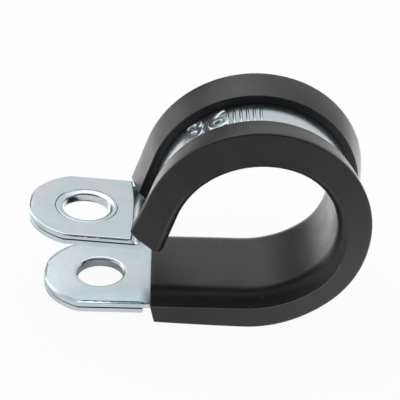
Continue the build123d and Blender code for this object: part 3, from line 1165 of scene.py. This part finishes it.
def strokes_tree():
    """Geometry Nodes: plain rounded strokes stood side by side round the strap's crown."""
    tree, inputs = geometry_tree("Strokes round the crown", {
        "Int": ("Strokes",),
        "Float": ("First angle", "Step", "Radius", "Stroke width", "Stroke height", "Relief"),
        "Vector": ("Centre",),
        "Material": ("Finish",),
    })
    line = add(tree, "GeometryNodeMeshLine", {"Count": inputs["Strokes"]}).outputs[0]
    index = add(tree, "GeometryNodeInputIndex").outputs[0]
    turn = maths(tree, "ADD", inputs["First angle"], maths(tree, "MULTIPLY", inputs["Step"], index))
    x = maths(tree, "MULTIPLY", inputs["Radius"], maths(tree, "SINE", turn))
    down = maths(tree, "MULTIPLY", maths(tree, "COSINE", turn), -1.0)
    z = maths(tree, "MULTIPLY", inputs["Radius"], down)
    spoke = add(tree, "ShaderNodeCombineXYZ", {"X": x, "Z": z}).outputs[0]
    place = vector_maths(tree, "ADD", spoke, inputs["Centre"])
    points = add(tree, "GeometryNodeSetPosition", {"Geometry": line, "Position": place}).outputs[0]
    ridge = add(tree, "GeometryNodeMeshUVSphere", {"Segments": 16, "Rings": 12, "Radius": 1.0}).outputs[0]
    wide = maths(tree, "MULTIPLY", inputs["Stroke width"], 0.5)
    tall = maths(tree, "MULTIPLY", inputs["Stroke height"], 0.5)
    size = add(tree, "ShaderNodeCombineXYZ", {"X": wide, "Y": tall, "Z": inputs["Relief"]}).outputs[0]
    lean = add(tree, "ShaderNodeCombineXYZ", {"Y": maths(tree, "SUBTRACT", pi, turn)}).outputs[0]
    strokes = add(tree, "GeometryNodeInstanceOnPoints", {
        "Points": points, "Instance": ridge, "Rotation": lean, "Scale": size}).outputs[0]
    finish_tree(tree, strokes, inputs["Finish"])
    return tree


# Type size for a number of the height asked, and how far its outline is swollen
TYPE_FOR_HEIGHT = 1.42
OUTLINE_SWELL = 0.03 * MM
LETTER_SPACING = 1.12


def raised_number(settings):
    """The plain number, raised on the strap's outer face round its crown."""
    loop, strap, mark = settings.loop, settings.strap, settings.mark
    text = bpy.data.curves.new("number", "FONT")
    text.body = mark.number
    text.align_x = "CENTER"
    text.align_y = "CENTER"
    text.size = mark.height * TYPE_FOR_HEIGHT
    text.extrude = text.bevel_depth = mark.relief / 2
    text.bevel_resolution = 2
    text.offset = OUTLINE_SWELL
    text.space_character = LETTER_SPACING
    held = linked("number", text)
    data = evaluated_mesh(held)
    bpy.data.objects.remove(held)
    outer = band_radii(loop)[2] + strap.sheet
    centre = crown_centre(loop)
    for vertex in data.vertices:
        along, up, out = vertex.co
        heading = mark.number_at - along / outer
        vertex.co = centre + outward(heading) * (outer + out) + ACROSS * up
    return linked("number", data)


# Dust

# A speck is longer than wide, and flat
SPECK_SHAPE = (1.0, 0.7, 0.5)


def dust_tree():
    """Geometry Nodes: small flat specks scattered on a surface."""
    tree, inputs = geometry_tree("Dust on the rubber", {
        "Float": ("Specks per area", "Smallest", "Largest"),
        "Int": ("Seed",),
        "Material": ("Finish",),
    })
    spread_out = add(tree, "GeometryNodeDistributePointsOnFaces", {
        "Mesh": inputs["Geometry"], "Density": inputs["Specks per area"], "Seed": inputs["Seed"]})
    size = add(tree, "FunctionNodeRandomValue", {
        "Min": inputs["Smallest"], "Max": inputs["Largest"], "Seed": inputs["Seed"]}, data_type="FLOAT")
    speck = add(tree, "GeometryNodeMeshIcoSphere", {"Radius": 1.0, "Subdivisions": 2}).outputs[0]
    flat = add(tree, "GeometryNodeTransform", {"Geometry": speck, "Scale": SPECK_SHAPE}).outputs[0]
    specks = add(tree, "GeometryNodeInstanceOnPoints", {
        "Points": spread_out.outputs["Points"], "Instance": flat,
        "Rotation": spread_out.outputs["Rotation"], "Scale": size.outputs["Value"]}).outputs[0]
    finish_tree(tree, specks, inputs["Finish"])
    return tree


# Finishes

def new_material(name):
    material = bpy.data.materials.new(name)
    material.use_nodes = True
    tree = material.node_tree
    tree.nodes.clear()
    return material, tree


def patches(tree, size, detail, low, high):
    """A soft mask of patches of about that size on the piece itself."""
    place = add(tree, "ShaderNodeTexCoord").outputs["Object"]
    cloud = add(tree, "ShaderNodeTexNoise", {"Vector": place, "Scale": 1 / size, "Detail": detail})
    return ranged(tree, cloud.outputs["Fac"], low, high)


def mixed(tree, amount, first, second):
    """Blend of two colours, each a settings colour or a socket."""
    blend = add(tree, "ShaderNodeMix", {"Factor": amount}, data_type="RGBA")
    for name, value in (("A", first), ("B", second)):
        slot = [socket for socket in blend.inputs if socket.name == name and socket.type == "RGBA"][0]
        if isinstance(value, bpy.types.NodeSocket):
            tree.links.new(value, slot)
        else:
            slot.default_value = (*value, 1.0)
    return [socket for socket in blend.outputs if socket.type == "RGBA"][0]


def finished(material, tree, feeds):
    """End a material in one plain surface."""
    surface = add(tree, "ShaderNodeBsdfPrincipled", feeds)
    add(tree, "ShaderNodeOutputMaterial", {"Surface": surface.outputs[0]})
    return material


def grained(tree, height, strength, depth):
    """A fine grain on the surface."""
    feeds = {"Height": height, "Strength": strength, "Distance": depth}
    return add(tree, "ShaderNodeBump", feeds).outputs[0]


# Patches and grain: size, detail, and where the noise starts and ends as a mask
COOL_PATCHES = (3.2 * MM, 2.0, 0.4, 0.62)
WARM_PATCHES = (5.0 * MM, 2.0, 0.5, 0.68)
DULL_PATCHES = (0.9 * MM, 3.0, 0.3, 0.7)
WORN_PATCHES = (4.0 * MM, 3.0, 0.4, 0.75)
SHEEN_PATCHES = (2.5 * MM, 3.0, 0.3, 0.7)
ZINC_GRAIN = (0.22 * MM, 3.0, 0.25, 0.75)
RUBBER_SKIN = (0.16 * MM, 3.0, 0.2, 0.8)
# Roughness at both ends of a mask, and the strength and depth of a grain
ZINC_GLOSS, RUBBER_GLOSS = (0.17, 0.23), (0.34, 0.42)
ZINC_BUMP, RUBBER_BUMP = (0.25, 0.004 * MM), (0.15, 0.01 * MM)


def zinc_plate(finishes):
    """Bright zinc plating: pale silver, faint cool and warm patches, and a soft, grainy shine."""
    material, tree = new_material("bright zinc plating")
    cool = mixed(tree, patches(tree, *COOL_PATCHES), finishes.zinc, finishes.zinc_cool)
    tone = mixed(tree, patches(tree, *WARM_PATCHES), cool, finishes.zinc_warm)
    gloss = ranged(tree, patches(tree, *DULL_PATCHES), 0.0, 1.0, *ZINC_GLOSS)
    grain = grained(tree, patches(tree, *ZINC_GRAIN), *ZINC_BUMP)
    return finished(material, tree, {
        "Base Color": tone, "Metallic": 1.0, "Roughness": gloss, "Normal": grain})


def torn_and_shaded_zinc(finishes):
    """Torn edge and shut seam: dull grey metal that reads as a dark, ragged line; the dark is partly the
    dull metal and partly painted shade in the groove and the seam.
    """
    material, tree = new_material("torn edge of the strip")
    return finished(material, tree, {
        "Base Color": (*finishes.torn_and_shaded, 1.0), "Metallic": 1.0, "Roughness": 0.6})


def black_rubber(name, first, second):
    """Extruded rubber: a soft sheen, faint patches of a second tone and a fine skin."""
    material, tree = new_material(name)
    tone = mixed(tree, patches(tree, *WORN_PATCHES), first, second)
    sheen = ranged(tree, patches(tree, *SHEEN_PATCHES), 0.0, 1.0, *RUBBER_GLOSS)
    skin = grained(tree, patches(tree, *RUBBER_SKIN), *RUBBER_BUMP)
    return finished(material, tree, {"Base Color": tone, "Roughness": sheen, "Normal": skin})


def pale_dust(finishes):
    """Dust: matt pale specks that break the black of the rubber."""
    material, tree = new_material("pale dust")
    return finished(material, tree, {"Base Color": (*finishes.dust, 1.0), "Roughness": 0.9})


def floor_strength(tree, place, across, studio):
    """Strength of the floor in reflections: brighter behind the clip, with two soft spots before it."""
    near = ranged(tree, across, studio.glow_from, studio.glow_to, studio.near_level, studio.glow_level)
    far = ranged(tree, across, studio.fade_from, studio.fade_to, 1.0, studio.fade_level)
    strength = maths(tree, "MULTIPLY", near, far)
    for centre, core, reach, power in (
        (studio.bright_spot, studio.bright_core, studio.bright_reach, studio.bright_level),
        (studio.dim_spot, studio.dim_core, studio.dim_reach, studio.dim_level),
    ):
        away = vector_maths(tree, "DISTANCE", place, centre, "Value")
        patch = ranged(tree, away, core, reach, power, 1.0, "SMOOTHSTEP")
        strength = maths(tree, "MULTIPLY", strength, patch)
    return strength


def studio_floor(finishes, studio):
    """Pale floor: white to the camera and in reflections, with the clip's soft shadow on it."""
    material, tree = new_material("pale studio floor")
    lit = add(tree, "ShaderNodeBsdfPrincipled", {"Base Color": (*finishes.floor, 1.0), "Roughness": 0.9})
    place = add(tree, "ShaderNodeTexCoord").outputs["Object"]
    across = add(tree, "ShaderNodeSeparateXYZ", {"Vector": place}).outputs["Y"]
    path = add(tree, "ShaderNodeLightPath").outputs
    strength = floor_strength(tree, place, across, studio)
    power = ranged(tree, path["Is Camera Ray"], 0.0, 1.0, strength, 1.0)
    glow = add(tree, "ShaderNodeEmission", {"Color": (1.0, 1.0, 1.0, 1.0), "Strength": power})
    # In reflections the glow is left out of a strip along the clip, a painted shade under it; there only
    # the lit floor with its shadow shows.
    beside = maths(tree, "ABSOLUTE", across)
    clear = ranged(tree, beside, studio.clear_from, studio.clear_to, kind="SMOOTHSTEP")
    mirrored = maths(tree, "MULTIPLY", path["Is Glossy Ray"], clear)
    seen = maths(tree, "MULTIPLY", path["Is Camera Ray"], studio.floor_white)
    share = maths(tree, "MAXIMUM", seen, mirrored)
    both = add(tree, "ShaderNodeMixShader", {0: share, 1: lit.outputs[0], 2: glow.outputs[0]})
    add(tree, "ShaderNodeOutputMaterial", {"Surface": both.outputs[0]})
    return material


# Operators

def shown(piece, node):
    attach(piece, "root")
    if node:
        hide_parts(node)


class CLIP_OT_liner(bpy.types.Operator):
    """Build the rubber liner with its rounded lips and slanted ends"""
    bl_idname = "clip.liner"
    bl_label = "Build the liner"

    def execute(self, context):
        settings = context.scene.p_clip
        finishes = settings.finishes
        skin = black_rubber("extruded black rubber", finishes.rubber, finishes.rubber_worn)
        # The second finish is a paler copy of the rubber: a painted highlight along the crease.
        painted_crease_highlight = black_rubber("rubbed edge of the rubber", finishes.painted_crease_highlight, finishes.painted_crease_highlight)
        liner = build_liner(settings, [skin, painted_crease_highlight])
        shown(liner, "rubber_liner")
        return {"FINISHED"}


class CLIP_OT_strap(bpy.types.Operator):
    """Build the zinc-plated strap with its folded ears and drawn collars"""
    bl_idname = "clip.strap"
    bl_label = "Build the strap"

    def execute(self, context):
        settings = context.scene.p_clip
        zinc = zinc_plate(settings.finishes)
        strap = joined("strap", [build_band(settings, zinc)] + build_ears(settings))
        settle(strap, [zinc, torn_and_shaded_zinc(settings.finishes)], sharp=radians(35))
        shown(strap, "steel_strap")
        return {"FINISHED"}


class CLIP_OT_mark(bpy.types.Operator):
    """Raise a plain number and plain strokes on the strap in the groove"""
    bl_idname = "clip.mark"
    bl_label = "Raise the mark"

    def execute(self, context):
        settings = context.scene.p_clip
        mark, loop, strap = settings.mark, settings.loop, settings.strap
        zinc = bpy.data.materials["bright zinc plating"]
        strokes = grown("strokes", strokes_tree(), mesh_object("seed", [(0, 0, 0)], []), {
            "Strokes": mark.strokes,
            "First angle": mark.strokes_at,
            "Step": mark.stroke_step,
            "Radius": band_radii(loop)[2] + strap.sheet,
            "Stroke width": mark.stroke,
            "Stroke height": mark.height,
            "Relief": mark.relief,
            "Centre": crown_centre(loop),
            "Finish": zinc,
        })
        raised = joined("raised_mark", [raised_number(settings), strokes])
        settle(raised, [zinc], sharp=radians(50))
        shown(raised, None)
        return {"FINISHED"}


class CLIP_OT_dust(bpy.types.Operator):
    """Scatter specks of dust on the rubber"""
    bl_idname = "clip.dust"
    bl_label = "Scatter the dust"

    def execute(self, context):
        settings = context.scene.p_clip
        dust = settings.dust
        pale = pale_dust(settings.finishes)
        ground = linked("ground", bpy.data.objects["liner"].data.copy())
        specks = grown("dust", dust_tree(), ground, {
            "Specks per area": dust.per_area,
            "Smallest": dust.smallest,
            "Largest": dust.largest,
            "Seed": dust.seed,
            "Finish": pale,
        })
        settle(specks, [pale], sharp=radians(60))
        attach(specks, "root")
        return {"FINISHED"}


class CLIP_OT_stage(bpy.types.Operator):
    """Set up the floor, the lamps and the camera"""
    bl_idname = "clip.stage"
    bl_label = "Set the stage"

    def execute(self, context):
        settings = context.scene.p_clip
        studio = settings.studio
        reach = studio.floor_reach
        low = min(vert.co.z for vert in bpy.data.objects["liner"].data.vertices)
        corners = [(-reach, -reach, low), (reach, -reach, low), (reach, reach, low), (-reach, reach, low)]
        floor = mesh_object("floor", corners, [(0, 1, 2, 3)])
        floor.data.materials.append(studio_floor(settings.finishes, studio))
        for name, place, size, power in (
            ("top lamp", studio.top_place, studio.top_size, studio.top_power),
            ("side lamp", studio.side_place, studio.side_size, studio.side_power),
        ):
            lamp = bpy.data.lights.new(name, "AREA")
            lamp.size = size
            lamp.energy = power
            held = linked(name, lamp)
            held.location = place
            held.rotation_euler = (-Vector(place)).to_track_quat("-Z", "Y").to_euler()
        room_light(context.scene, studio)
        place_camera(context.scene, studio)
        return {"FINISHED"}


def room_light(scene, studio):
    """A white room, dark behind the camera, with a bright card, a softbox and a dim gap behind the clip."""
    world = bpy.data.worlds.new("white room")
    world.use_nodes = True
    tree = world.node_tree
    tree.nodes.clear()
    way = add(tree, "ShaderNodeTexCoord").outputs["Generated"]

    def patch(toward, reach, core, low, high):
        facing = vector_maths(tree, "DOT_PRODUCT", way, toward, "Value")
        return ranged(tree, facing, cos(reach), cos(core), low, high, "SMOOTHSTEP")

    lit = patch(studio.dark_way, studio.dark_reach, studio.dark_core, studio.room_level, studio.dark_level)
    for toward, reach, core, power in (
        (studio.card_way, studio.card_reach, studio.card_core, studio.card_level),
        (studio.box_way, studio.box_reach, studio.box_core, studio.box_level),
        (studio.gap_way, studio.gap_reach, studio.gap_core, -studio.gap_level),
    ):
        lit = maths(tree, "ADD", lit, patch(toward, reach, core, 0.0, power))
    path = add(tree, "ShaderNodeLightPath").outputs
    glossy = maths(tree, "MAXIMUM", path["Is Glossy Ray"], path["Is Transmission Ray"])
    soft = ranged(tree, glossy, 0.0, 1.0, studio.ambient, lit)
    seen = maths(tree, "MAXIMUM", soft, path["Is Camera Ray"])
    room = add(tree, "ShaderNodeBackground", {"Color": (1.0, 1.0, 1.0, 1.0), "Strength": seen})
    add(tree, "ShaderNodeOutputWorld", {"Surface": room.outputs[0]})
    scene.world = world


# Width of the camera's sensor in millimetres, and the nearest that it sees
SENSOR, NEAREST = 36.0, 10 * MM


def place_camera(scene, studio):
    """The photograph's viewpoint."""
    lens = bpy.data.cameras.new("camera")
    lens.lens = studio.focal
    lens.sensor_width = SENSOR
    lens.clip_start = NEAREST
    camera = linked("camera", lens)
    right = Vector(studio.right).normalized()
    back = right.cross(Vector(studio.up)).normalized()
    turn = Matrix((right, back.cross(right).normalized(), back)).transposed()
    camera.matrix_world = Matrix.Translation(studio.eye) @ turn.to_4x4()
    scene.camera = camera


class CLIP_PT_panel(bpy.types.Panel):
    """Lists the steps that build the clip"""
    bl_idname = "CLIP_PT_panel"
    bl_label = "P clip"
    bl_space_type = "VIEW_3D"
    bl_region_type = "UI"
    bl_category = "P clip"

    def draw(self, context):
        for step in STEPS:
            self.layout.operator(step.bl_idname)


STEPS = (CLIP_OT_liner, CLIP_OT_strap, CLIP_OT_mark, CLIP_OT_dust, CLIP_OT_stage)
GROUPS = (ClipLoop, StrapSizes, LinerSizes, MarkSizes, DustSizes, Finishes, StudioSettings, ClipSettings)


def register():
    for kind in GROUPS + STEPS + (CLIP_PT_panel,):
        bpy.utils.register_class(kind)
    bpy.types.Scene.p_clip = bpy.props.PointerProperty(type=ClipSettings, name="P clip",
                                                       description="Settings of the P clip")


def unregister():
    del bpy.types.Scene.p_clip
    for kind in reversed(GROUPS + STEPS + (CLIP_PT_panel,)):
        bpy.utils.unregister_class(kind)


def main():
    register()
    bpy.context.scene.view_settings.view_transform = "Standard"
    bpy.ops.clip.liner()
    bpy.ops.clip.strap()
    bpy.ops.clip.mark()
    bpy.ops.clip.dust()
    bpy.ops.clip.stage()


if __name__ == "__main__":
    main()
